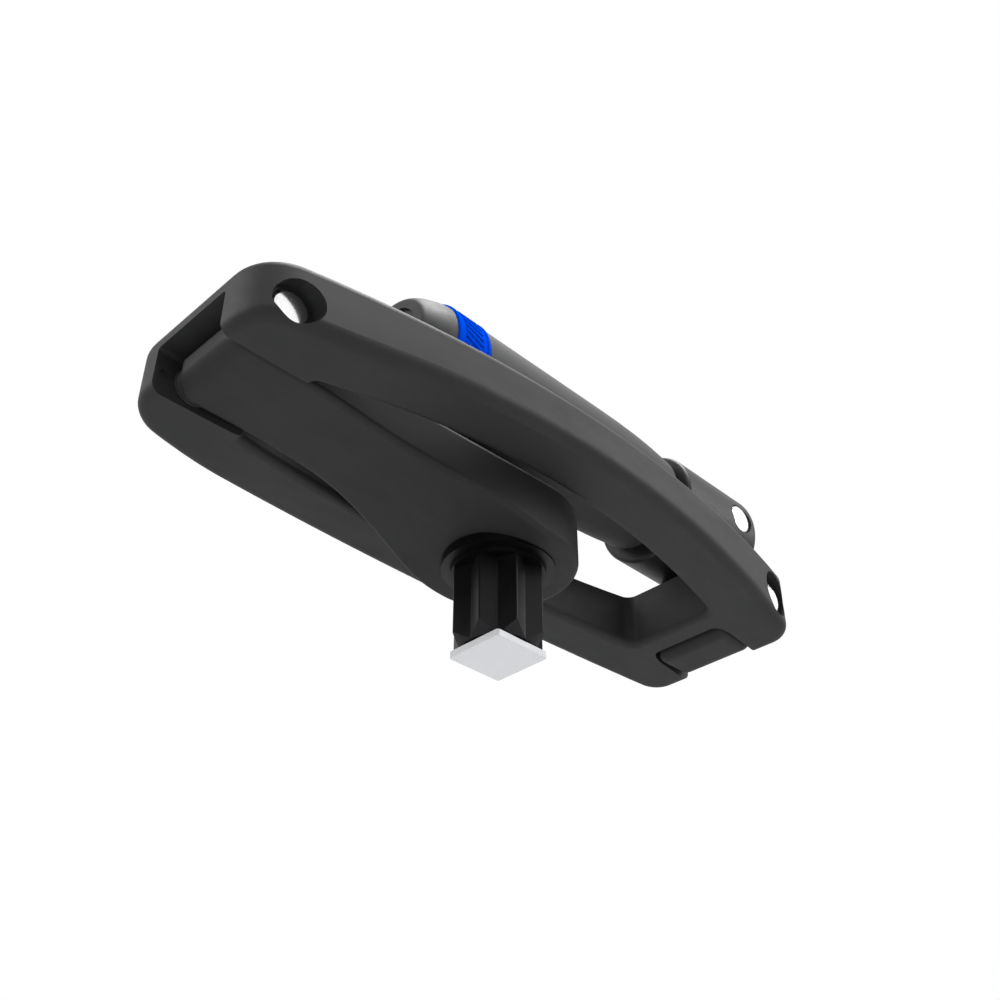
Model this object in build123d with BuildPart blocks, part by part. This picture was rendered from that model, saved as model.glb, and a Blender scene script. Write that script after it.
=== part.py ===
"""Folding winch handle, folded: a loop frame, a drive arm inside it and a grip lying along its back.

The origin is on the axis of the drive star, on the seat face that rests on the winch. The star points
down (-Z), the frame lies along X, the arm pivots at its -X end and the grip link at its +X end.
Millimetres throughout.
"""

import os
from math import cos, radians, sqrt

from build123d import *

# Drive star: two crossed squares of the standard 11/16 inch socket, and the lock plate under it
STAR_SQUARE = 17.3
STAR_POINT_R = STAR_SQUARE / sqrt(2)
STAR_BOTTOM = -23.2
STAR_CHAMFER = 3.0
COLLAR_R = 12.4
COLLAR_HEIGHT = 1.5
SEAT_R = 14.8
SEAT_DEPTH = 2.6
PLATE_SIDE = 17.2
PLATE_BOTTOM = -25.4
PLATE_THICKNESS = 1.9
SPINDLE_R = 4.0

# Loop frame: bowed rails, a top skin over the arm pivot and a slot for the grip link
FRAME_HALF_LENGTH = 97.0
FRAME_HALF_WIDTH = 38.2
FRAME_BOW_R = 385.0
FRAME_TOP = 28.0
FRAME_ARCH_TOP = 14.8
FRAME_ARCH_R = 680.0
FRAME_END_BOTTOM = 11.0
LOOP_HALF_WIDTH = 22.3
LOOP_BOW_R = 330.0
LOOP_START = -72.0
LOOP_END = 71.7
CHANNEL_HALF_WIDTH = 13.3
CHANNEL_ROOF = 23.5
SLOT_START = 80.2
SLOT_HALF_WIDTH = 13.0
SLOT_CORNER_R = 3.2
LINK_POCKET_R = 11.9

# Pivots: A holds the arm, B the grip link, C the grip knuckle
ARM_PIVOT = (-87.0, 17.2)
LINK_PIVOT = (87.0, 18.4)
KNUCKLE_PIVOT = (90.7, 52.0)
PIN_R = 4.0
PIN_HEAD_R = 4.75
LINK_PIN_HEAD_R = 5.3
PIN_HEAD_THICKNESS = 2.5
PIN_SPIGOT_R = 2.0
PIN_SPIGOT_LENGTH = 8.0
ARM_PIN_POCKET_R = 5.7
LINK_PIN_POCKET_R = 6.8
HEAD_CLEARANCE = 0.1
RUNNING_CLEARANCE = 0.05

# Drive arm: flat at the pivot, dropping and flaring towards the star
ARM_HALF_WIDTH = 12.6
ARM_NOSE_R = 5.6
ARM_NOSE_RISE = 0.4
ARM_NOSE_FLAT = 0.3
ARM_NOSE_CORNER_R = 5.0
ARM_END_R = 20.8
ARM_UNDERSIDE = 0.5
ARM_TOP = 16.4
ARM_POCKET_FLOOR = 11.0
ARM_POCKET_R = 11.5
SHANK_SQUARE = 16.0

# Spring-loaded detent balls in the two friction pivots, and the dimples they click into
DETENT_OFFSET = 7.5
BALL_R = 1.8
BALL_PROUD = 0.1
BALL_BORE_R = 1.85
DIMPLE_R = 1.2
DIMPLE_DEPTH = 0.5
SPRING_WIRE_R = 0.3

# Grip: a tube that spins on a spindle held by the knuckle
GRIP_R = 17.25
GRIP_START = -31.5
GRIP_END = 61.9
GRIP_Z = KNUCKLE_PIVOT[1]
BAND_R = 17.65
BAND_SEAT_R = 15.6
BAND_END = -20.0
CAP_END = -41.2
GRIP_BORE_R = 13.2
GRIP_NECK_BORE_R = 9.5
GRIP_SPINDLE_R = 6.0
KNUCKLE_R = 17.9
KNUCKLE_DROP = 0.75
KNUCKLE_START = 64.0
KNUCKLE_END = 100.0
FORK_HALF_GAP = 8.4
TONGUE_HALF_WIDTH = 8.0
LINK_HALF_WIDTH = 12.6
LINK_HALF_DEPTH = 6.8
LINK_HEEL_DEPTH = 9.5
LINK_BOTTOM = 8.7
LINK_SHOULDER = 31.0
TONGUE_R = 8.0
LINK_DETENT_OFFSET = 9.0
KNUCKLE_PIN_FACE = 17.3
SPINDLE_SOCKET_DEPTH = 8.0

os.makedirs("parts", exist_ok=True)


def save(piece, label):
    """Label a finished sub-part and write it as its own STEP file."""
    piece.part.label = label
    export_step(piece.part, f"parts/{label}.step")


def side_plane(y):
    """A sketch plane facing -Y at the given y: sketch x is X and sketch y is Z."""
    return Plane(origin=(0, y, 0), x_dir=(1, 0, 0), z_dir=(0, -1, 0))


def frame_half_width(x):
    """Half width of the bowed outer outline at x."""
    return FRAME_HALF_WIDTH - FRAME_BOW_R + sqrt(FRAME_BOW_R**2 - x**2)


def loop_half_width(x):
    """Half width of the bowed inner opening at x."""
    return LOOP_HALF_WIDTH - LOOP_BOW_R + sqrt(LOOP_BOW_R**2 - x**2)


def arch_height(x):
    """Height of the arched underside at x."""
    return FRAME_ARCH_TOP - FRAME_ARCH_R + sqrt(FRAME_ARCH_R**2 - x**2)


# Frame ------------------------------------------------------------------------------------------

# How far each pin head face and each recess floor lies from the middle plane
ARM_PIN_FACE = 24.7
ARM_PIN_RECESS = 24.0
LINK_PIN_FACE = 25.6
LINK_PIN_RECESS = 24.6

with BuildPart() as loop_frame:
    end_width = frame_half_width(FRAME_HALF_LENGTH)
    with BuildSketch() as outline:
        with BuildLine():
            ThreePointArc(
                (-FRAME_HALF_LENGTH, end_width), (0, FRAME_HALF_WIDTH), (FRAME_HALF_LENGTH, end_width)
            )
            Line((FRAME_HALF_LENGTH, end_width), (FRAME_HALF_LENGTH, -end_width))
            ThreePointArc(
                (FRAME_HALF_LENGTH, -end_width), (0, -FRAME_HALF_WIDTH), (-FRAME_HALF_LENGTH, -end_width)
            )
            Line((-FRAME_HALF_LENGTH, -end_width), (-FRAME_HALF_LENGTH, end_width))
        make_face()
        fillet(outline.vertices().group_by(Axis.X)[0], radius=13)
        fillet(outline.vertices().group_by(Axis.X)[-1], radius=8)
    extrude(amount=FRAME_TOP)
    with BuildSketch(side_plane(0)) as side_profile:
        with BuildLine():
            Polyline(
                (LOOP_START, FRAME_END_BOTTOM),
                (-FRAME_HALF_LENGTH - 1, FRAME_END_BOTTOM),
                (-FRAME_HALF_LENGTH - 1, FRAME_TOP),
                (FRAME_HALF_LENGTH + 1, FRAME_TOP),
                (FRAME_HALF_LENGTH + 1, arch_height(FRAME_HALF_LENGTH + 1)),
            )
            ThreePointArc(
                (FRAME_HALF_LENGTH + 1, arch_height(FRAME_HALF_LENGTH + 1)),
                (0, FRAME_ARCH_TOP),
                (LOOP_START, FRAME_END_BOTTOM),
            )
        make_face()
        blend_corner = side_profile.vertices().sort_by_distance((LOOP_START, 0, FRAME_END_BOTTOM))[0]
        fillet(blend_corner, radius=150)
    extrude(amount=60, both=True, mode=Mode.INTERSECT)
    fillet(faces().sort_by(Axis.Z)[-1].edges(), radius=2.5)
    under_rim = edges().filter_by(lambda e: e.center().Z < 16 and abs(e.center().Y) > 1)
    fillet(under_rim.filter_by(lambda e: abs(e.tangent_at(0.5).Z) < 0.5), radius=3.0)
    # Through opening between the rails, with small corner radii
    with BuildSketch() as loop:
        start_width = loop_half_width(LOOP_START)
        finish_width = loop_half_width(LOOP_END)
        with BuildLine():
            ThreePointArc((LOOP_START, start_width), (0, LOOP_HALF_WIDTH), (LOOP_END, finish_width))
            Line((LOOP_END, finish_width), (LOOP_END, -finish_width))
            ThreePointArc((LOOP_END, -finish_width), (0, -LOOP_HALF_WIDTH), (LOOP_START, -start_width))
            Line((LOOP_START, -start_width), (LOOP_START, start_width))
        make_face()
        fillet(loop.vertices().group_by(Axis.X)[0], radius=1.5)
        fillet(loop.vertices().group_by(Axis.X)[-1], radius=3.5)
    extrude(amount=FRAME_TOP, mode=Mode.SUBTRACT)
    loop_rim = edges().filter_by(lambda e: e.center().Z < 16 and abs(e.center().Y) < LOOP_HALF_WIDTH + 1)
    loop_rim = loop_rim.filter_by(lambda e: LOOP_START - 1 < e.center().X < LOOP_END + 1)
    fillet(loop_rim.filter_by(lambda e: abs(e.tangent_at(0.5).Z) < 0.5), radius=2.2)
    # Channel for the arm's pivot end, open below and at the end, under the top skin
    channel_length = FRAME_HALF_LENGTH + LOOP_START + 2
    with BuildSketch(Plane.YZ.offset(-FRAME_HALF_LENGTH - 1)) as channel:
        with Locations((0, CHANNEL_ROOF)):
            Rectangle(2 * CHANNEL_HALF_WIDTH, 40, align=(Align.CENTER, Align.MAX))
        fillet(channel.vertices().group_by(Axis.Z)[-1], radius=1.2)
    extrude(amount=channel_length, mode=Mode.SUBTRACT)
    # Slot for the grip link: straight lips, rounded in plan, and a round pocket about its pivot
    with BuildSketch() as slot:
        with Locations((SLOT_START, 0)):
            Rectangle(30, 2 * SLOT_HALF_WIDTH, align=(Align.MIN, Align.CENTER))
        fillet(slot.vertices().group_by(Axis.X)[0], radius=SLOT_CORNER_R)
    extrude(amount=FRAME_TOP, mode=Mode.SUBTRACT)
    with BuildSketch(Plane.XY.offset(LINK_PIVOT[1])) as link_pocket:
        with Locations((LINK_PIVOT[0], 0)):
            Rectangle(LINK_POCKET_R, 2 * SLOT_HALF_WIDTH, align=(Align.MIN, Align.CENTER))
        fillet(link_pocket.vertices().group_by(Axis.X)[-1], radius=SLOT_CORNER_R)
    revolve(axis=Axis((LINK_PIVOT[0], 0, LINK_PIVOT[1]), (0, 1, 0)), mode=Mode.SUBTRACT)
    # Pivot pin bores, head seats and outer recesses
    for centre, head_r, face, recess, recess_r in (
        (ARM_PIVOT, PIN_HEAD_R, ARM_PIN_FACE, ARM_PIN_RECESS, ARM_PIN_POCKET_R),
        (LINK_PIVOT, LINK_PIN_HEAD_R, LINK_PIN_FACE, LINK_PIN_RECESS, LINK_PIN_POCKET_R),
    ):
        with BuildSketch(side_plane(0)) as pin_bore:
            with Locations(centre):
                Circle(PIN_R + RUNNING_CLEARANCE)
        extrude(amount=30, both=True, mode=Mode.SUBTRACT)
        for side in (-1, 1):
            for start, radius in (
                (face - PIN_HEAD_THICKNESS, head_r + HEAD_CLEARANCE),
                (recess, recess_r),
            ):
                with BuildSketch(side_plane(side * start)) as head_seat:
                    with Locations(centre):
                        Circle(radius)
                extrude(amount=-side * 20, mode=Mode.SUBTRACT)
    # Dimples for the arm's detent balls in both cheeks, for its folded and its open position
    for side in (-1, 1):
        with BuildSketch(side_plane(side * CHANNEL_HALF_WIDTH)) as arm_dimples:
            with Locations(ARM_PIVOT):
                with Locations((-DETENT_OFFSET, 0), (DETENT_OFFSET, 0)):
                    Circle(DIMPLE_R)
        extrude(amount=-side * DIMPLE_DEPTH, mode=Mode.SUBTRACT)
save(loop_frame, "loop_frame")


def make_pin(centre, face, head_r=PIN_HEAD_R):
    """A headed pin along Y, head towards -Y, with a blind bore in its tail for the cap's spigot."""
    reach = face - PIN_HEAD_THICKNESS
    with BuildPart() as pin:
        with BuildSketch(side_plane(reach)) as shaft:
            with Locations(centre):
                Circle(PIN_R)
        extrude(amount=2 * reach)
        with BuildSketch(side_plane(-reach)) as head:
            with Locations(centre):
                Circle(head_r)
        extrude(amount=PIN_HEAD_THICKNESS)
        fillet(faces().sort_by(Axis.Y)[0].edges(), radius=0.9)
        with BuildSketch(side_plane(reach)) as spigot_bore:
            with Locations(centre):
                Circle(PIN_SPIGOT_R)
        extrude(amount=PIN_SPIGOT_LENGTH + 0.5, mode=Mode.SUBTRACT)
    return pin


def make_pin_cap(centre, face, head_r=PIN_HEAD_R):
    """The matching cap: a head of the same size on a spigot that presses into the pin's tail."""
    reach = face - PIN_HEAD_THICKNESS
    with BuildPart() as cap:
        with BuildSketch(side_plane(reach)) as head:
            with Locations(centre):
                Circle(head_r)
        extrude(amount=-PIN_HEAD_THICKNESS)
        fillet(faces().sort_by(Axis.Y)[-1].edges(), radius=0.9)
        with BuildSketch(side_plane(reach)) as spigot:
            with Locations(centre):
                Circle(PIN_SPIGOT_R)
        extrude(amount=PIN_SPIGOT_LENGTH)
    return cap


save(make_pin(ARM_PIVOT, ARM_PIN_FACE), "arm_pivot_pin")
save(make_pin_cap(ARM_PIVOT, ARM_PIN_FACE), "arm_pivot_pin_cap")
save(make_pin(LINK_PIVOT, LINK_PIN_FACE, LINK_PIN_HEAD_R), "link_pivot_pin")
save(make_pin_cap(LINK_PIVOT, LINK_PIN_FACE, LINK_PIN_HEAD_R), "link_pivot_pin_cap")


# Drive arm --------------------------------------------------------------------------------------

BUSH_R = 4.6
BUSH_FLANGE_R = 4.9
BUSH_FLANGE = 0.4
BUSH_LENGTH = 10.0
CLIP_BOTTOM = 11.2
CLIP_THICKNESS = 1.0

with BuildPart() as drive_arm:
    with BuildSketch(side_plane(0)) as arm_side:
        with BuildLine():
            nose_x = ARM_PIVOT[0] - 0.3
            nose_z = ARM_PIVOT[1] + ARM_NOSE_RISE
            ThreePointArc(
                (nose_x, nose_z + ARM_NOSE_R), (nose_x - ARM_NOSE_R, nose_z), (nose_x, nose_z - ARM_NOSE_R)
            )
            Line((nose_x, nose_z - ARM_NOSE_R), (-72, nose_z - ARM_NOSE_R))
            Spline(
                (-72, nose_z - ARM_NOSE_R),
                (-62, 11.5),
                (-50, 10.3),
                (-42, 9.1),
                (-34, 7.6),
                (-26, 5.9),
                (-18, 3.9),
                (-8, 1.4),
                (3, ARM_UNDERSIDE),
                tangents=((1, 0), (1, 0)),
            )
            Polyline((3, ARM_UNDERSIDE), (30, ARM_UNDERSIDE), (30, ARM_TOP), (-6, ARM_TOP))
            Bezier((-6, ARM_TOP), (-22, ARM_TOP), (-30, nose_z + ARM_NOSE_R), (-54, nose_z + ARM_NOSE_R))
            Line((-54, nose_z + ARM_NOSE_R), (nose_x, nose_z + ARM_NOSE_R))
        make_face()
    extrude(amount=30, both=True)
    with BuildSketch(Plane.XY.offset(-1)) as arm_plan:
        with BuildLine():
            nose_end = nose_x - ARM_NOSE_R + ARM_NOSE_FLAT
            Line((-5, -ARM_END_R), (0, -ARM_END_R))
            ThreePointArc((0, -ARM_END_R), (ARM_END_R, 0), (0, ARM_END_R))
            Line((0, ARM_END_R), (-5, ARM_END_R))
            Bezier((-5, ARM_END_R), (-22, ARM_END_R), (-32, ARM_HALF_WIDTH), (-56, ARM_HALF_WIDTH))
            Polyline(
                (-56, ARM_HALF_WIDTH),
                (nose_end, ARM_HALF_WIDTH),
                (nose_end, -ARM_HALF_WIDTH),
                (-56, -ARM_HALF_WIDTH),
            )
            Bezier((-56, -ARM_HALF_WIDTH), (-32, -ARM_HALF_WIDTH), (-22, -ARM_END_R), (-5, -ARM_END_R))
        make_face()
        fillet(arm_plan.vertices().group_by(Axis.X)[0], radius=ARM_NOSE_CORNER_R)
    extrude(amount=30, mode=Mode.INTERSECT)
    # Round the rim all the way along both sides and over the nose
    fillet(edges().filter_by(Axis.Y, reverse=True).filter_by(Axis.Z, reverse=True), radius=1.6)
    # Bore for the pivot bushes and the cross bore for the detent
    with BuildSketch(side_plane(0)) as pivot_bore:
        with Locations(ARM_PIVOT):
            Circle(BUSH_R)
    extrude(amount=30, both=True, mode=Mode.SUBTRACT)
    with BuildSketch(side_plane(0)) as detent_bore:
        with Locations((ARM_PIVOT[0] + DETENT_OFFSET, ARM_PIVOT[1])):
            Circle(BALL_BORE_R)
    extrude(amount=30, both=True, mode=Mode.SUBTRACT)
    # Seat for the star's flange, the square it is keyed in and the pocket for its clip
    with BuildSketch(Plane.XY) as flange_seat:
        Circle(SEAT_R)
    extrude(amount=SEAT_DEPTH, mode=Mode.SUBTRACT)
    with BuildSketch(Plane.XY.offset(SEAT_DEPTH)) as key_square:
        RectangleRounded(SHANK_SQUARE, SHANK_SQUARE, 2)
    extrude(amount=ARM_POCKET_FLOOR - SEAT_DEPTH, mode=Mode.SUBTRACT)
    with BuildSketch(Plane.XY.offset(ARM_POCKET_FLOOR)) as clip_pocket:
        Circle(ARM_POCKET_R)
    extrude(amount=10, mode=Mode.SUBTRACT)
save(drive_arm, "drive_arm")

with BuildPart() as arm_bushes:
    for side in (-1, 1):
        with BuildSketch(side_plane(side * (ARM_HALF_WIDTH - BUSH_LENGTH))) as bush:
            with Locations(ARM_PIVOT):
                Circle(BUSH_R)
                Circle(PIN_R + RUNNING_CLEARANCE, mode=Mode.SUBTRACT)
        extrude(amount=-side * BUSH_LENGTH)
        with BuildSketch(side_plane(side * ARM_HALF_WIDTH)) as bush_flange:
            with Locations(ARM_PIVOT):
                Circle(BUSH_FLANGE_R)
                Circle(PIN_R + RUNNING_CLEARANCE, mode=Mode.SUBTRACT)
        extrude(amount=-side * BUSH_FLANGE)
save(arm_bushes, "arm_bushes")


def make_balls(centre, half_width):
    """The two detent balls, each standing proud of the moving piece's side."""
    with BuildPart() as balls:
        for side in (-1, 1):
            with Locations((centre[0], side * (half_width + BALL_PROUD - BALL_R), centre[1])):
                Sphere(BALL_R)
    return balls


def make_spring(base, length, coil_r, wire_r, turns):
    """A round-wire compression spring standing on the base plane."""
    with BuildPart() as spring:
        with BuildLine() as coil:
            Helix(
                pitch=(length - 2 * wire_r) / turns,
                height=length - 2 * wire_r,
                radius=coil_r,
                center=base.origin + base.z_dir * wire_r,
                direction=base.z_dir,
            )
        with BuildSketch(Plane(coil.line @ 0, z_dir=coil.line % 0)) as wire:
            Circle(wire_r)
        sweep(path=coil.line, is_frenet=True)
    return spring


def make_ball_spring(centre, half_width):
    """The spring that pushes a pair of detent balls apart."""
    half_length = half_width + BALL_PROUD - 2 * BALL_R - 0.05
    base = Plane(origin=(centre[0], -half_length, centre[1]), z_dir=(0, 1, 0))
    return make_spring(base, 2 * half_length, BALL_R - SPRING_WIRE_R - 0.1, SPRING_WIRE_R, 9)


arm_detent = (ARM_PIVOT[0] + DETENT_OFFSET, ARM_PIVOT[1])
save(make_balls(arm_detent, ARM_HALF_WIDTH), "arm_detent_balls")
save(make_ball_spring(arm_detent, ARM_HALF_WIDTH), "arm_detent_spring")


# Drive star and lock ----------------------------------------------------------------------------

SHANK_TOP_R = 7.5
SHANK_TOP = 13.2
SPRING_POCKET_R = 6.1
SPRING_POCKET_FLOOR = 7.0
TENON_SQUARE = 5.4
TENON_START = 17.5
TENON_END = 24.1

with BuildPart() as drive_star:
    with BuildSketch(Plane.XY.offset(STAR_BOTTOM)) as star:
        for angle in (22.5, 67.5):
            Rectangle(STAR_SQUARE, STAR_SQUARE, rotation=angle)
        fillet(star.vertices(), radius=0.4)
    extrude(amount=-STAR_BOTTOM)
    # Lead-in cone round the bottom of the points
    with BuildSketch(Plane.XZ) as cone_cut:
        Polygon(
            (STAR_POINT_R - STAR_CHAMFER, STAR_BOTTOM),
            (STAR_POINT_R + 1, STAR_BOTTOM),
            (STAR_POINT_R + 1, STAR_BOTTOM + STAR_CHAMFER + 1),
            (STAR_POINT_R, STAR_BOTTOM + STAR_CHAMFER),
            align=None,
        )
    revolve(axis=Axis.Z, mode=Mode.SUBTRACT)
    # Round collar where the star meets the seat flange
    with BuildSketch() as collar:
        Circle(COLLAR_R)
    extrude(amount=-COLLAR_HEIGHT)
    with BuildSketch() as flange:
        Circle(SEAT_R)
    extrude(amount=SEAT_DEPTH)
    # Square shank through the arm, and its round top with a groove for the clip
    with BuildSketch(Plane.XY.offset(SEAT_DEPTH)) as shank:
        RectangleRounded(SHANK_SQUARE, SHANK_SQUARE, 2)
    extrude(amount=ARM_POCKET_FLOOR - SEAT_DEPTH)
    with BuildSketch(Plane.XY.offset(ARM_POCKET_FLOOR)) as shank_top:
        Circle(SHANK_TOP_R)
    extrude(amount=SHANK_TOP - ARM_POCKET_FLOOR)
    with BuildSketch(Plane.XY.offset(CLIP_BOTTOM)) as clip_groove:
        Circle(SHANK_TOP_R + 1)
        Circle(SHANK_TOP_R - 0.6, mode=Mode.SUBTRACT)
    extrude(amount=CLIP_THICKNESS, mode=Mode.SUBTRACT)
    # Bore for the lock spindle and pocket for its return spring
    with BuildSketch(Plane.XY.offset(STAR_BOTTOM)) as spindle_bore:
        Circle(SPINDLE_R + RUNNING_CLEARANCE)
    extrude(amount=SHANK_TOP - STAR_BOTTOM, mode=Mode.SUBTRACT)
    with BuildSketch(Plane.XY.offset(SPRING_POCKET_FLOOR)) as spring_pocket:
        Circle(SPRING_POCKET_R)
    extrude(amount=SHANK_TOP, mode=Mode.SUBTRACT)
save(drive_star, "drive_star")

with BuildPart() as star_clip:
    with BuildSketch(Plane.XY.offset(CLIP_BOTTOM)) as clip:
        Circle(SHANK_TOP_R + 2.4)
        Circle(SHANK_TOP_R - 0.6, mode=Mode.SUBTRACT)
        with Locations((SHANK_TOP_R + 1, 0)):
            Rectangle(6, 5, mode=Mode.SUBTRACT)
        with Locations((SHANK_TOP_R - 0.3, 4.6), (SHANK_TOP_R - 0.3, -4.6)):
            Circle(0.8, mode=Mode.SUBTRACT)
    extrude(amount=CLIP_THICKNESS)
save(star_clip, "star_clip")

with BuildPart() as lock_spindle:
    with BuildSketch(Plane.XY.offset(PLATE_BOTTOM + PLATE_THICKNESS)) as rod:
        Circle(SPINDLE_R)
    extrude(amount=TENON_START - PLATE_BOTTOM - PLATE_THICKNESS)
    with BuildSketch(Plane.XY.offset(PLATE_BOTTOM + 0.8)) as foot:
        Circle(3.0)
    extrude(amount=PLATE_THICKNESS - 0.8)
    with BuildSketch(Plane.XY.offset(TENON_START)) as tenon:
        Rectangle(TENON_SQUARE, TENON_SQUARE)
    extrude(amount=TENON_END - TENON_START)
    with BuildSketch(Plane.XY.offset(TENON_END - 10)) as screw_bore:
        Circle(1.25)
    extrude(amount=10, mode=Mode.SUBTRACT)
save(lock_spindle, "lock_spindle")

with BuildPart() as lock_plate:
    with BuildSketch(Plane.XY.offset(PLATE_BOTTOM)) as plate:
        RectangleRounded(PLATE_SIDE, PLATE_SIDE, 0.8)
    extrude(amount=PLATE_THICKNESS)
    chamfer(faces().sort_by(Axis.Z)[0].edges(), length=0.25)
    with BuildSketch(Plane.XY.offset(PLATE_BOTTOM + 0.8)) as foot_bore:
        Circle(3.0)
    extrude(amount=PLATE_THICKNESS, mode=Mode.SUBTRACT)
save(lock_plate, "lock_plate")

lock_spring_base = Plane.XY.offset(SPRING_POCKET_FLOOR + 0.1)
save(make_spring(lock_spring_base, TENON_START - SPRING_POCKET_FLOOR - 0.4, 5.4, 0.45, 4), "lock_spring")

DIAL_R = 13.0
DIAL_BOTTOM = 17.6
DIAL_TOP = 20.6
WING_HALF_LENGTH = 16.0
WING_TOP = 27.1

with BuildPart() as release_knob:
    with BuildSketch(Plane.XY.offset(DIAL_BOTTOM)) as dial:
        Circle(DIAL_R)
    extrude(amount=DIAL_TOP - DIAL_BOTTOM)
    with BuildSketch(Plane.XY.offset(DIAL_BOTTOM)) as wing:
        SlotOverall(2 * WING_HALF_LENGTH, 9)
    extrude(amount=WING_TOP - DIAL_BOTTOM)
    fillet(faces().sort_by(Axis.Z)[-1].edges(), radius=2.0)
    with BuildSketch(Plane.XY.offset(DIAL_BOTTOM)) as tenon_bore:
        Rectangle(TENON_SQUARE + 0.1, TENON_SQUARE + 0.1)
    extrude(amount=TENON_END - DIAL_BOTTOM + 0.2, mode=Mode.SUBTRACT)
    with BuildSketch(Plane.XY.offset(TENON_END)) as screw_way:
        Circle(1.7)
    extrude(amount=5, mode=Mode.SUBTRACT)
    with BuildSketch(Plane.XY.offset(WING_TOP - 1.6)) as screw_seat:
        Circle(3.2)
    extrude(amount=5, mode=Mode.SUBTRACT)
save(release_knob, "release_knob")

with BuildPart() as knob_screw:
    with BuildSketch(Plane.XY.offset(WING_TOP - 1.6)) as screw_head:
        Circle(3.0)
    extrude(amount=1.4)
    fillet(faces().sort_by(Axis.Z)[-1].edges(), radius=0.5)
    with BuildSketch(Plane.XY.offset(WING_TOP - 1.6 - 11)) as screw_shank:
        Circle(1.25)
    extrude(amount=11)
    with BuildSketch(Plane.XY.offset(WING_TOP - 1.0)) as hex_socket:
        RegularPolygon(1.2, 6)
    extrude(amount=2, mode=Mode.SUBTRACT)
save(knob_screw, "knob_screw")


# Grip link and knuckle --------------------------------------------------------------------------

LINK_BUSH_R = 5.2

with BuildPart() as grip_link:
    link_x, link_z = LINK_PIVOT
    knuckle_x, knuckle_z = KNUCKLE_PIVOT
    with BuildSketch(side_plane(0)) as block_side:
        with BuildLine():
            Polyline(
                (link_x - LINK_HALF_DEPTH, LINK_SHOULDER),
                (link_x - LINK_HALF_DEPTH, LINK_BOTTOM),
                (link_x + LINK_HEEL_DEPTH, LINK_BOTTOM),
                (link_x + LINK_HEEL_DEPTH, link_z + 1),
                (link_x + LINK_HALF_DEPTH, link_z + 7),
                (link_x + LINK_HALF_DEPTH, LINK_SHOULDER),
                close=True,
            )
        make_face()
        heel = block_side.vertices().sort_by_distance((link_x + LINK_HEEL_DEPTH, 0, LINK_BOTTOM))[0]
        fillet(heel, radius=4.8)
        fillet(block_side.vertices().group_by(Axis.X)[0], radius=3.5)
    extrude(amount=LINK_HALF_WIDTH, both=True)
    fillet(faces().filter_by(Axis.Y).edges(), radius=2.8)
    with BuildSketch(side_plane(0)) as tongue_side:
        with BuildLine():
            Line((link_x - LINK_HALF_DEPTH, link_z + 8), (link_x - LINK_HALF_DEPTH, LINK_SHOULDER))
            Line((link_x - LINK_HALF_DEPTH, LINK_SHOULDER), (knuckle_x - TONGUE_R, knuckle_z))
            ThreePointArc(
                (knuckle_x - TONGUE_R, knuckle_z),
                (knuckle_x, knuckle_z + TONGUE_R),
                (knuckle_x + TONGUE_R, knuckle_z),
            )
            Line((knuckle_x + TONGUE_R, knuckle_z), (link_x + LINK_HALF_DEPTH, LINK_SHOULDER))
            Line((link_x + LINK_HALF_DEPTH, LINK_SHOULDER), (link_x + LINK_HALF_DEPTH, link_z + 8))
            Line((link_x + LINK_HALF_DEPTH, link_z + 8), (link_x - LINK_HALF_DEPTH, link_z + 8))
        make_face()
    extrude(amount=TONGUE_HALF_WIDTH, both=True)
    for centre, radius in (
        (LINK_PIVOT, LINK_BUSH_R),
        (KNUCKLE_PIVOT, LINK_BUSH_R),
        ((knuckle_x, knuckle_z - LINK_DETENT_OFFSET), BALL_BORE_R),
    ):
        with BuildSketch(side_plane(0)) as cross_bore:
            with Locations(centre):
                Circle(radius)
        extrude(amount=30, both=True, mode=Mode.SUBTRACT)
save(grip_link, "grip_link")


def make_link_bushes(centre, half_width):
    """Two flanged bushes facing outwards in one of the link's pivot bores."""
    length = half_width - 1.0
    with BuildPart() as bushes:
        for side in (-1, 1):
            with BuildSketch(side_plane(side * 1.0)) as sleeve:
                with Locations(centre):
                    Circle(LINK_BUSH_R)
                    Circle(PIN_R + RUNNING_CLEARANCE, mode=Mode.SUBTRACT)
            extrude(amount=-side * length)
    return bushes


save(make_link_bushes(LINK_PIVOT, LINK_HALF_WIDTH), "link_bushes")
save(make_link_bushes(KNUCKLE_PIVOT, TONGUE_HALF_WIDTH), "tongue_bushes")

link_detent = (KNUCKLE_PIVOT[0], KNUCKLE_PIVOT[1] - LINK_DETENT_OFFSET)
save(make_balls(link_detent, TONGUE_HALF_WIDTH), "link_detent_balls")
save(make_ball_spring(link_detent, TONGUE_HALF_WIDTH), "link_detent_spring")

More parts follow.
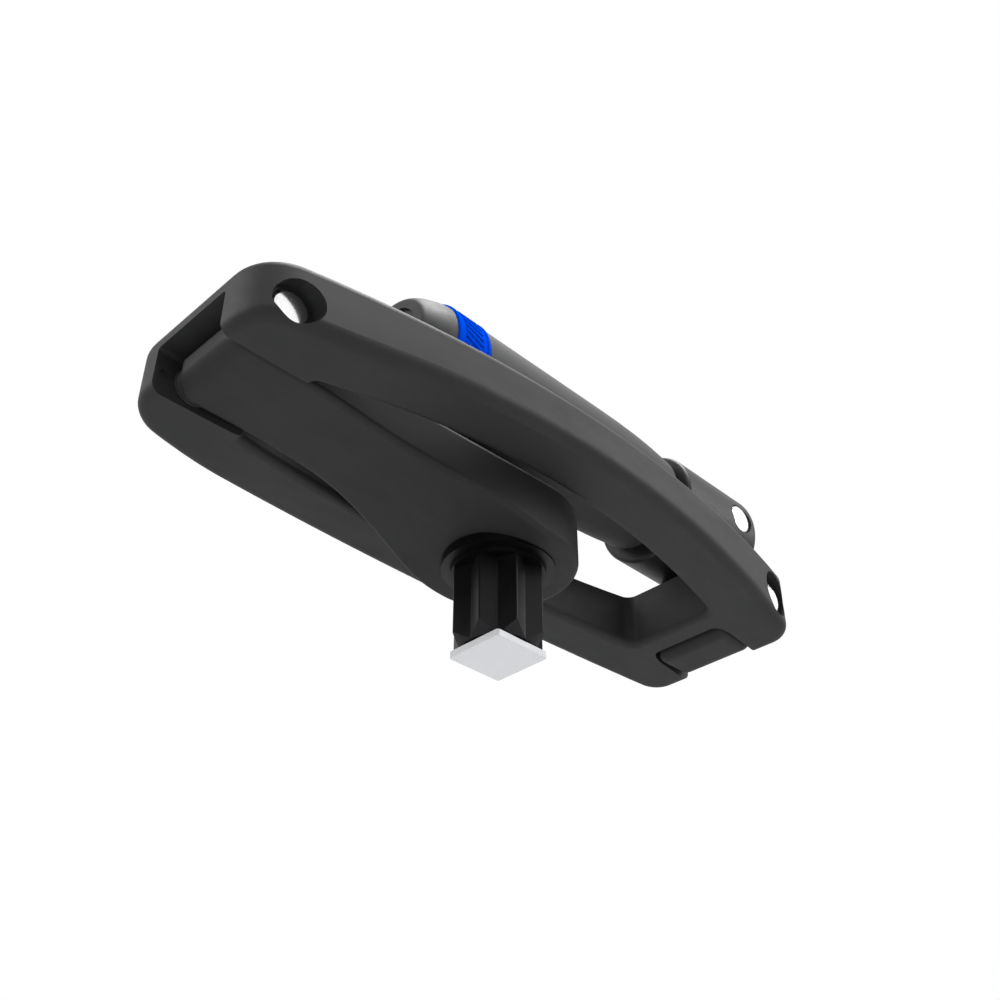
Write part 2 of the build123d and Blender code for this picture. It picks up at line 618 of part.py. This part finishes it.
with BuildPart() as knuckle:
    with BuildSketch(Plane.YZ.offset(KNUCKLE_START)) as barrel:
        with Locations((0, GRIP_Z - KNUCKLE_DROP)):
            Circle(KNUCKLE_R)
    extrude(amount=KNUCKLE_END - KNUCKLE_START)
    fillet(faces().sort_by(Axis.X)[0].edges(), radius=1.2)
    fillet(faces().sort_by(Axis.X)[-1].edges(), radius=4.0)
    # Fork gap, open downwards and towards +X, under a roof
    with BuildSketch(side_plane(0)) as gap:
        with BuildLine():
            gap_front = (knuckle_x - FORK_HALF_GAP, knuckle_z)
            gap_rise = FORK_HALF_GAP * cos(radians(45))
            Line((KNUCKLE_END + 5, 25), (79.2, 25))
            Line((79.2, 25), gap_front)
            ThreePointArc(
                gap_front,
                (knuckle_x - gap_rise, knuckle_z + gap_rise),
                (knuckle_x, knuckle_z + FORK_HALF_GAP),
            )
            Line((knuckle_x, knuckle_z + FORK_HALF_GAP), (KNUCKLE_END + 5, knuckle_z + FORK_HALF_GAP))
            Line((KNUCKLE_END + 5, knuckle_z + FORK_HALF_GAP), (KNUCKLE_END + 5, 25))
        make_face()
    extrude(amount=FORK_HALF_GAP, both=True, mode=Mode.SUBTRACT)
    # Pin bore, head seats and the spot faces round them
    with BuildSketch(side_plane(0)) as knuckle_pin_bore:
        with Locations(KNUCKLE_PIVOT):
            Circle(PIN_R + RUNNING_CLEARANCE)
    extrude(amount=30, both=True, mode=Mode.SUBTRACT)
    for side in (-1, 1):
        with BuildSketch(side_plane(side * (KNUCKLE_PIN_FACE - PIN_HEAD_THICKNESS))) as knuckle_head_seat:
            with Locations(KNUCKLE_PIVOT):
                Circle(PIN_HEAD_R + HEAD_CLEARANCE)
        extrude(amount=-side * 20, mode=Mode.SUBTRACT)
        # Dimples for the link's detent balls, for its folded and its open position
        with BuildSketch(side_plane(side * FORK_HALF_GAP)) as link_dimples:
            with Locations(KNUCKLE_PIVOT):
                with Locations((0, -LINK_DETENT_OFFSET), (LINK_DETENT_OFFSET, 0)):
                    Circle(DIMPLE_R)
        extrude(amount=-side * DIMPLE_DEPTH, mode=Mode.SUBTRACT)
    # Socket the grip spindle is fixed in
    with BuildSketch(Plane.YZ.offset(KNUCKLE_START - 1)) as spindle_socket:
        with Locations((0, GRIP_Z)):
            Circle(GRIP_SPINDLE_R)
    extrude(amount=SPINDLE_SOCKET_DEPTH + 1, mode=Mode.SUBTRACT)
save(knuckle, "knuckle")

save(make_pin(KNUCKLE_PIVOT, KNUCKLE_PIN_FACE), "knuckle_pin")
save(make_pin_cap(KNUCKLE_PIVOT, KNUCKLE_PIN_FACE), "knuckle_pin_cap")


# Grip -------------------------------------------------------------------------------------------

SPINDLE_SHOULDER_R = 12.5
SPINDLE_SHOULDER_START = 62.4
SPINDLE_END = -30.4
WASHER_R = 9.5
WASHER_THICKNESS = 1.2
BUSH_BORE_R = GRIP_SPINDLE_R + RUNNING_CLEARANCE
REAR_BUSH_START = -30.0
REAR_BUSH_LENGTH = 12.0
NECK_BUSH_START = 48.5
NECK_BUSH_LENGTH = GRIP_END - NECK_BUSH_START

grip_axis = Plane(origin=(0, 0, GRIP_Z), x_dir=(1, 0, 0), z_dir=(0, -1, 0))


def grip_round(x, radius, length, mode=Mode.ADD):
    """A cylinder on the grip's axis from x towards +X, inside the current part."""
    with Locations(Location((x, 0, GRIP_Z), (0, 90, 0))):
        Cylinder(radius, length, align=(Align.CENTER, Align.CENTER, Align.MIN), mode=mode)


with BuildPart() as grip_spindle:
    grip_round(SPINDLE_END, GRIP_SPINDLE_R, KNUCKLE_START + SPINDLE_SOCKET_DEPTH - SPINDLE_END)
    grip_round(SPINDLE_SHOULDER_START, SPINDLE_SHOULDER_R, KNUCKLE_START - SPINDLE_SHOULDER_START)
    grip_round(SPINDLE_END - 1, 2.5, 14, Mode.SUBTRACT)
save(grip_spindle, "grip_spindle")

with BuildPart() as spindle_washer:
    grip_round(SPINDLE_END - WASHER_THICKNESS, WASHER_R, WASHER_THICKNESS)
    grip_round(SPINDLE_END - 5, 2.6, 10, Mode.SUBTRACT)
save(spindle_washer, "spindle_washer")

with BuildPart() as spindle_screw:
    grip_round(SPINDLE_END - WASHER_THICKNESS - 3.2, 4.75, 3.2)
    grip_round(SPINDLE_END - WASHER_THICKNESS, 2.5, 12)
    with BuildSketch(Plane.YZ.offset(SPINDLE_END - WASHER_THICKNESS - 3.2)) as screw_socket:
        with Locations((0, GRIP_Z)):
            RegularPolygon(2.3, 6)
    extrude(amount=2.2, mode=Mode.SUBTRACT)
save(spindle_screw, "spindle_screw")

with BuildPart() as grip_bushes:
    grip_round(REAR_BUSH_START, GRIP_BORE_R, REAR_BUSH_LENGTH)
    grip_round(NECK_BUSH_START, GRIP_NECK_BORE_R, NECK_BUSH_LENGTH)
    grip_round(REAR_BUSH_START - 5, BUSH_BORE_R, 120, Mode.SUBTRACT)
save(grip_bushes, "grip_bushes")

with BuildPart() as grip_tube:
    with BuildSketch(grip_axis) as tube_profile:
        with BuildLine():
            Polyline(
                (48, GRIP_NECK_BORE_R),
                (48, GRIP_BORE_R),
                (GRIP_START, GRIP_BORE_R),
                (GRIP_START, BAND_SEAT_R),
                (BAND_END, BAND_SEAT_R),
                (BAND_END, GRIP_R - 0.4),
                (BAND_END + 0.4, GRIP_R),
                (27, GRIP_R),
            )
            Spline((27, GRIP_R), (40, 17.05), (48, 16.65), (60.6, 15.4), tangents=((1, 0), (1, -0.12)))
            ThreePointArc((60.6, 15.4), (61.5, 15.0), (GRIP_END, 14.1))
            Polyline((GRIP_END, 14.3), (GRIP_END, GRIP_NECK_BORE_R), (48, GRIP_NECK_BORE_R))
        make_face()
    revolve(axis=Axis((0, 0, GRIP_Z), (1, 0, 0)))
save(grip_tube, "grip_tube")

with BuildPart() as grip_band:
    grip_round(GRIP_START, BAND_R, BAND_END - GRIP_START)
    fillet(edges().filter_by(GeomType.CIRCLE), radius=0.4)
    grip_round(GRIP_START - 1, BAND_SEAT_R, BAND_END - GRIP_START + 2, Mode.SUBTRACT)
save(grip_band, "grip_band")

with BuildPart() as grip_end_cap:
    with BuildSketch(grip_axis) as cap_profile:
        with BuildLine():
            Polyline((CAP_END, 0), (CAP_END, 12.6))
            Spline(
                (CAP_END, 12.6),
                (-40.0, 14.5),
                (-37.8, 15.6),
                (-35, 16.45),
                (GRIP_START, 17.05),
                tangents=((0, 1), (1, 0.12)),
            )
            Polyline(
                (GRIP_START, 17.05),
                (GRIP_START, GRIP_BORE_R),
                (REAR_BUSH_START - 0.2, GRIP_BORE_R),
                (REAR_BUSH_START - 0.2, 11),
                (-37.6, 11),
                (-38.6, 10),
                (-38.6, 0),
                (CAP_END, 0),
            )
        make_face()
    revolve(axis=Axis((0, 0, GRIP_Z), (1, 0, 0)))
    # Shallow round recess in the end face
    grip_round(CAP_END - 1, 10.9, 2.1, Mode.SUBTRACT)
save(grip_end_cap, "grip_end_cap")
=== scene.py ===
"""Looks of the folded winch handle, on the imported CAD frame. Metres, +Z up."""
import math

import bmesh
import bpy
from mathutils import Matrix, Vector


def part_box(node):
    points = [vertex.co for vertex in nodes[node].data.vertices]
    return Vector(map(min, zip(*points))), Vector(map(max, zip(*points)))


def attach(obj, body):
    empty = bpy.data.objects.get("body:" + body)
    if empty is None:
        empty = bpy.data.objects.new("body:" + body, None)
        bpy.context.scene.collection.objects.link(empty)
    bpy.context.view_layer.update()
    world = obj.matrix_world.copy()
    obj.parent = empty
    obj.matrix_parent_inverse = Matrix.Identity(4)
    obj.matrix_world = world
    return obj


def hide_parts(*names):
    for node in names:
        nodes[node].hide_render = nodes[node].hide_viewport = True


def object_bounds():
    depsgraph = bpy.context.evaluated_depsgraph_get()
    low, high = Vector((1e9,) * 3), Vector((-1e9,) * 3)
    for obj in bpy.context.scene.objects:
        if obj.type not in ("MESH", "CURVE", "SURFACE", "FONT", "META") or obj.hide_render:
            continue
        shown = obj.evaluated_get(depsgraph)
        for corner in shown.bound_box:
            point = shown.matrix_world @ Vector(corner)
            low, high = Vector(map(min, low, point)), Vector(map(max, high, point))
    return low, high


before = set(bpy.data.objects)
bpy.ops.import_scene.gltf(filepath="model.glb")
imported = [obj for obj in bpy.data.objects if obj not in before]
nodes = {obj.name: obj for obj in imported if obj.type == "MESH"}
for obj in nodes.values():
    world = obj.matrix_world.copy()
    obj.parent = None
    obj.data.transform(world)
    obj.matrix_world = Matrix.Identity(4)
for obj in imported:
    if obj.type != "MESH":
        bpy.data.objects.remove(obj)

cad_low, cad_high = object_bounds()
MM = 0.001


# Materials --------------------------------------------------------------------------------------
# Noise scales are in cells per metre, bump depths in millimetres.

FLOW_SCALE = 38.0
SCUFF_SCALE = 160.0
SCUFF_STRETCH = (0.35, 1, 1)
SMEAR_SCALE = 120.0
GLOSS_DOWN = 0.05
GLOSS_UP = 0.06
MOULDED_TINT = 0.12
METAL_SHADE = 0.93


def new_material(name):
    """An empty node material with its Principled shader and object coordinates."""
    mat = bpy.data.materials.new(name)
    mat.use_nodes = True
    tree = mat.node_tree
    tree.nodes.clear()
    out = tree.nodes.new("ShaderNodeOutputMaterial")
    shader = tree.nodes.new("ShaderNodeBsdfPrincipled")
    coords = tree.nodes.new("ShaderNodeTexCoord")
    tree.links.new(shader.outputs["BSDF"], out.inputs["Surface"])
    return mat, tree, shader, coords.outputs["Object"]


def noise(tree, coords, scale, detail, roughness, stretch=(1, 1, 1)):
    """A noise texture's value, stretched along the axes if asked."""
    if stretch != (1, 1, 1):
        mapping = tree.nodes.new("ShaderNodeMapping")
        mapping.inputs["Scale"].default_value = stretch
        tree.links.new(coords, mapping.inputs["Vector"])
        coords = mapping.outputs["Vector"]
    tex = tree.nodes.new("ShaderNodeTexNoise")
    tex.inputs["Scale"].default_value = scale
    tex.inputs["Detail"].default_value = detail
    tex.inputs["Roughness"].default_value = roughness
    tree.links.new(coords, tex.inputs["Vector"])
    return tex.outputs["Fac"]


def ramp(tree, value, start, end):
    """A colour ramp over a value, between two stops: each is (position, grey or colour)."""
    node = tree.nodes.new("ShaderNodeValToRGB")
    for element, (position, colour) in zip(node.color_ramp.elements, (start, end)):
        rgb = colour if isinstance(colour, tuple) else (colour, colour, colour)
        element.position = position
        element.color = (*rgb, 1.0)
    tree.links.new(value, node.inputs["Fac"])
    return node.outputs["Color"]


def bump(tree, shader, height, strength, depth):
    """A bump on the shader's normal, its depth in metres."""
    node = tree.nodes.new("ShaderNodeBump")
    node.inputs["Strength"].default_value = strength
    node.inputs["Distance"].default_value = depth
    tree.links.new(height, node.inputs["Height"])
    tree.links.new(node.outputs["Normal"], shader.inputs["Normal"])


def moulded(name, colour, rough, specular, grain=2600.0, depth=0.03, tint=MOULDED_TINT):
    """Moulded plastic: fine even grain, faint flow clouds, small changes of gloss."""
    mat, tree, shader, coords = new_material(name)
    dark = tuple(c * (1 - tint) for c in colour)
    light = tuple(c * (1 + tint) for c in colour)
    clouds = noise(tree, coords, FLOW_SCALE, 5.0, 0.6)
    tree.links.new(ramp(tree, clouds, (0.3, dark), (0.7, light)), shader.inputs["Base Color"])
    scuffs = noise(tree, coords, SCUFF_SCALE, 6.0, 0.7, SCUFF_STRETCH)
    gloss = ramp(tree, scuffs, (0.3, rough - GLOSS_DOWN), (0.72, rough + GLOSS_UP))
    tree.links.new(gloss, shader.inputs["Roughness"])
    shader.inputs["Specular IOR Level"].default_value = specular
    bump(tree, shader, noise(tree, coords, grain, 2.0, 0.6), 0.35, depth * MM)
    return mat


def metal(name, colour, rough, grain, depth, stretch=(1, 1, 1), metallic=1.0):
    """Bare or coated metal, fine blasted, or brushed along the axis whose stretch is small."""
    mat, tree, shader, coords = new_material(name)
    shader.inputs["Metallic"].default_value = metallic
    lines = noise(tree, coords, grain, 4.0, 0.65, stretch)
    dark = tuple(c * METAL_SHADE for c in colour)
    tree.links.new(ramp(tree, lines, (0.3, dark), (0.7, colour)), shader.inputs["Base Color"])
    smears = noise(tree, coords, SMEAR_SCALE, 5.0, 0.6)
    gloss = ramp(tree, smears, (0.3, rough - GLOSS_DOWN), (0.75, rough + GLOSS_UP))
    tree.links.new(gloss, shader.inputs["Roughness"])
    bump(tree, shader, lines, 0.3, depth * MM)
    return mat


frame_black = moulded("frame_black", (0.0120, 0.0122, 0.0126), 0.56, 0.16)
arm_black = moulded("arm_black", (0.0108, 0.0110, 0.0114), 0.58, 0.145)
knuckle_black = moulded("knuckle_black", (0.0100, 0.0102, 0.0106), 0.46, 0.18)
knob_black = moulded("knob_black", (0.0120, 0.0122, 0.0128), 0.5, 0.18)
grip_grey = moulded("grip_grey", (0.0215, 0.0218, 0.0225), 0.62, 0.19, grain=1900.0, depth=0.05)
cap_grey = moulded("cap_grey", (0.0180, 0.0183, 0.0190), 0.56, 0.17, grain=2400.0)
bush_dark = moulded("bush_dark", (0.025, 0.025, 0.025), 0.45, 0.25, grain=3000.0, depth=0.01)
band_blue = moulded("band_blue", (0.0, 0.040, 0.42), 0.6, 0.0, depth=0.02, tint=0.05)
star_black = metal("star_black", (0.0165, 0.0165, 0.0175), 0.42, 2600.0, 0.006, (1, 1, 0.06))
plate_silver = metal("plate_silver", (0.46, 0.465, 0.48), 0.62, 3800.0, 0.006, metallic=0.15)
pin_bright = metal("pin_bright", (0.93, 0.93, 0.94), 0.13, 900.0, 0.001)
steel_plain = metal("steel_plain", (0.55, 0.55, 0.56), 0.3, 1800.0, 0.003, (1, 1, 0.2))

# Every node that isn't named here is plain steel.
FINISH = {
    "loop_frame": frame_black,
    "drive_arm": arm_black,
    "grip_link": arm_black,
    "knuckle": knuckle_black,
    "grip_tube": grip_grey,
    "grip_end_cap": cap_grey,
    "grip_band": band_blue,
    "release_knob": knob_black,
    "drive_star": star_black,
    "lock_plate": plate_silver,
    "arm_bushes": bush_dark,
    "link_bushes": bush_dark,
    "tongue_bushes": bush_dark,
    "grip_bushes": bush_dark,
    "arm_pivot_pin": pin_bright,
    "arm_pivot_pin_cap": pin_bright,
    "link_pivot_pin": pin_bright,
    "link_pivot_pin_cap": pin_bright,
    "knuckle_pin": pin_bright,
    "knuckle_pin_cap": pin_bright,
}
for node_name, obj in nodes.items():
    obj.data.materials.clear()
    obj.data.materials.append(FINISH.get(node_name, steel_plain))


# Grip band --------------------------------------------------------------------------------------

BAND_WALL = 2.05 * MM
BAND_RELIEF = 0.35 * MM
BAND_RIM = 1.1 * MM
BAND_EDGE_ROUND = 0.4 * MM
BAND_STEPS = 720                # points round the band
BAND_ROWS = 46                  # rows of faces across the band
BAND_SHARP = math.radians(40)   # an edge sharper than this isn't shaded smooth

BAR_PITCH = 15                  # steps from one bar to the next
BAR_LEAN = 34                   # steps that a bar would lean over the whole width
BAR_ENDS = (0.22, 0.78)         # where the bars start and end, as a part of the width
BAR_SIDES = (0.25, 0.75)        # where a bar starts and ends, as a part of the pitch


def bar_height(row, step):
    """How far the band's pattern stands proud there, 0 to 1: one even row of slanted bars."""
    across = row / BAND_ROWS
    if not BAR_ENDS[0] < across < BAR_ENDS[1]:
        return 0.0
    phase = (step + BAR_LEAN * (across - 0.5)) % BAR_PITCH / BAR_PITCH
    return 1.0 if BAR_SIDES[0] < phase < BAR_SIDES[1] else 0.0


def make_band():
    """The blue band with its bars, one closed ring that stands for the plain CAD band."""
    low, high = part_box("grip_band")
    axis_z = (low.z + high.z) / 2
    outer = (high.z - low.z) / 2
    inner = outer - BAND_WALL
    width = high.x - low.x
    angles = [2 * math.pi * step / BAND_STEPS for step in range(BAND_STEPS)]
    bm = bmesh.new()

    def add_ring(x, radii):
        """A ring of points round the grip's axis, each at its own radius."""
        return [
            bm.verts.new((x, radius * math.sin(angle), axis_z + radius * math.cos(angle)))
            for radius, angle in zip(radii, angles)
        ]

    rings = []
    for row in range(BAND_ROWS + 1):
        x = low.x + width * row / BAND_ROWS
        from_edge = min(x - low.x, high.x - x)
        if from_edge < BAND_RIM:
            drop = max(0.0, BAND_EDGE_ROUND - from_edge) ** 2 / BAND_EDGE_ROUND
            radii = [outer - drop] * BAND_STEPS
        else:
            radii = [
                outer - BAND_RELIEF * (1.0 - bar_height(row, step)) for step in range(BAND_STEPS)
            ]
        rings.append(add_ring(x, radii))
    for x in (high.x, low.x):
        rings.append(add_ring(x, [inner] * BAND_STEPS))
    for ring, following in zip(rings, rings[1:] + rings[:1]):
        for step in range(BAND_STEPS):
            after = (step + 1) % BAND_STEPS
            bm.faces.new((ring[step], ring[after], following[after], following[step]))
    bmesh.ops.recalc_face_normals(bm, faces=bm.faces)

    mesh = bpy.data.meshes.new("band_relief")
    bm.to_mesh(mesh)
    bm.free()
    for face in mesh.polygons:
        face.use_smooth = True
    mesh.set_sharp_from_angle(angle=BAND_SHARP)
    mesh.materials.append(band_blue)
    obj = bpy.data.objects.new("band_relief", mesh)
    bpy.context.scene.collection.objects.link(obj)
    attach(obj, "grip")
    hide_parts("grip_band")


make_band()


# Stage ------------------------------------------------------------------------------------------

WORLD_GREY = 1.0

FLOOR_HEIGHT = -0.42
FLOOR_HALF = 20.0
FLOOR_NEAR = 0.69               # the floor's grey under the object, painted shade round it
FLOOR_FAR = 0.97                # its grey from the fade distance on, painted light up to near white
FLOOR_FADE = 4.0
FLOOR_FADE_START = 0.75         # where the fade starts: 1 is under the object, 0 the fade distance

LIGHT_SIZE = 0.6
LIGHTS = {                      # place and watts
    "overhead": ((0.05, -0.2, 1.0), 20.5),
    "front": ((0.55, -0.7, 0.45), 6.0),
    "left": ((-0.8, 0.35, 0.45), 5.0),
}

CAMERA_PLACE = (-0.19413, -0.19482, -0.17193)
CAMERA_LOOK = (1, 1, 1)
CAMERA_LENS = 45.24             # millimetres, as is the sensor's width
CAMERA_SENSOR = 36.0


def even_world(grey):
    """Plain soft studio surround, the same grey all round."""
    world = bpy.data.worlds.new("studio")
    world.use_nodes = True
    tree = world.node_tree
    tree.nodes.clear()
    out = tree.nodes.new("ShaderNodeOutputWorld")
    back = tree.nodes.new("ShaderNodeBackground")
    back.inputs["Color"].default_value = (grey, grey, grey, 1.0)
    tree.links.new(back.outputs["Background"], out.inputs["Surface"])
    bpy.context.scene.world = world


def make_floor():
    """A large pale floor with painted shade: darker round the object, painted lighter with the
    distance from it.
    """
    half = FLOOR_HALF
    corners = [(-half, -half, 0), (half, -half, 0), (half, half, 0), (-half, half, 0)]
    mesh = bpy.data.meshes.new("floor")
    mesh.from_pydata(corners, [], [(0, 1, 2, 3)])
    obj = bpy.data.objects.new("floor", mesh)
    obj.location.z = FLOOR_HEIGHT
    mat, tree, shader, coords = new_material("floor")
    shader.inputs["Roughness"].default_value = 0.9
    shader.inputs["Specular IOR Level"].default_value = 0.1
    mapping = tree.nodes.new("ShaderNodeMapping")
    mapping.inputs["Scale"].default_value = (1 / FLOOR_FADE, 1 / FLOOR_FADE, 1 / FLOOR_FADE)
    tree.links.new(coords, mapping.inputs["Vector"])
    closeness = tree.nodes.new("ShaderNodeTexGradient")
    closeness.gradient_type = "SPHERICAL"
    tree.links.new(mapping.outputs["Vector"], closeness.inputs["Vector"])
    # painted shade: the floor's grey is darker near the object and lighter out to the fade
    # distance
    grey = ramp(tree, closeness.outputs["Fac"], (0.0, FLOOR_FAR), (FLOOR_FADE_START, FLOOR_NEAR))
    tree.links.new(grey, shader.inputs["Base Color"])
    mesh.materials.append(mat)
    bpy.context.scene.collection.objects.link(obj)


def add_light(name, place, aim, power):
    """A round soft light aimed at a point."""
    data = bpy.data.lights.new(name, "AREA")
    data.shape = "DISK"
    data.size = LIGHT_SIZE
    data.energy = power
    obj = bpy.data.objects.new(name, data)
    obj.location = place
    obj.rotation_euler = (aim - Vector(place)).to_track_quat("-Z", "Y").to_euler()
    bpy.context.scene.collection.objects.link(obj)


def add_camera():
    """The camera, below the handle and looking up at it."""
    data = bpy.data.cameras.new("camera")
    data.sensor_width = CAMERA_SENSOR
    data.lens = CAMERA_LENS
    obj = bpy.data.objects.new("camera", data)
    obj.location = CAMERA_PLACE
    obj.rotation_euler = Vector(CAMERA_LOOK).to_track_quat("-Z", "Y").to_euler()
    bpy.context.scene.collection.objects.link(obj)
    bpy.context.scene.camera = obj


even_world(WORLD_GREY)
make_floor()
centre = (cad_low + cad_high) / 2
for light_name, (place, power) in LIGHTS.items():
    add_light(light_name, place, centre, power)
add_camera()
bpy.context.scene.view_settings.view_transform = "Standard"
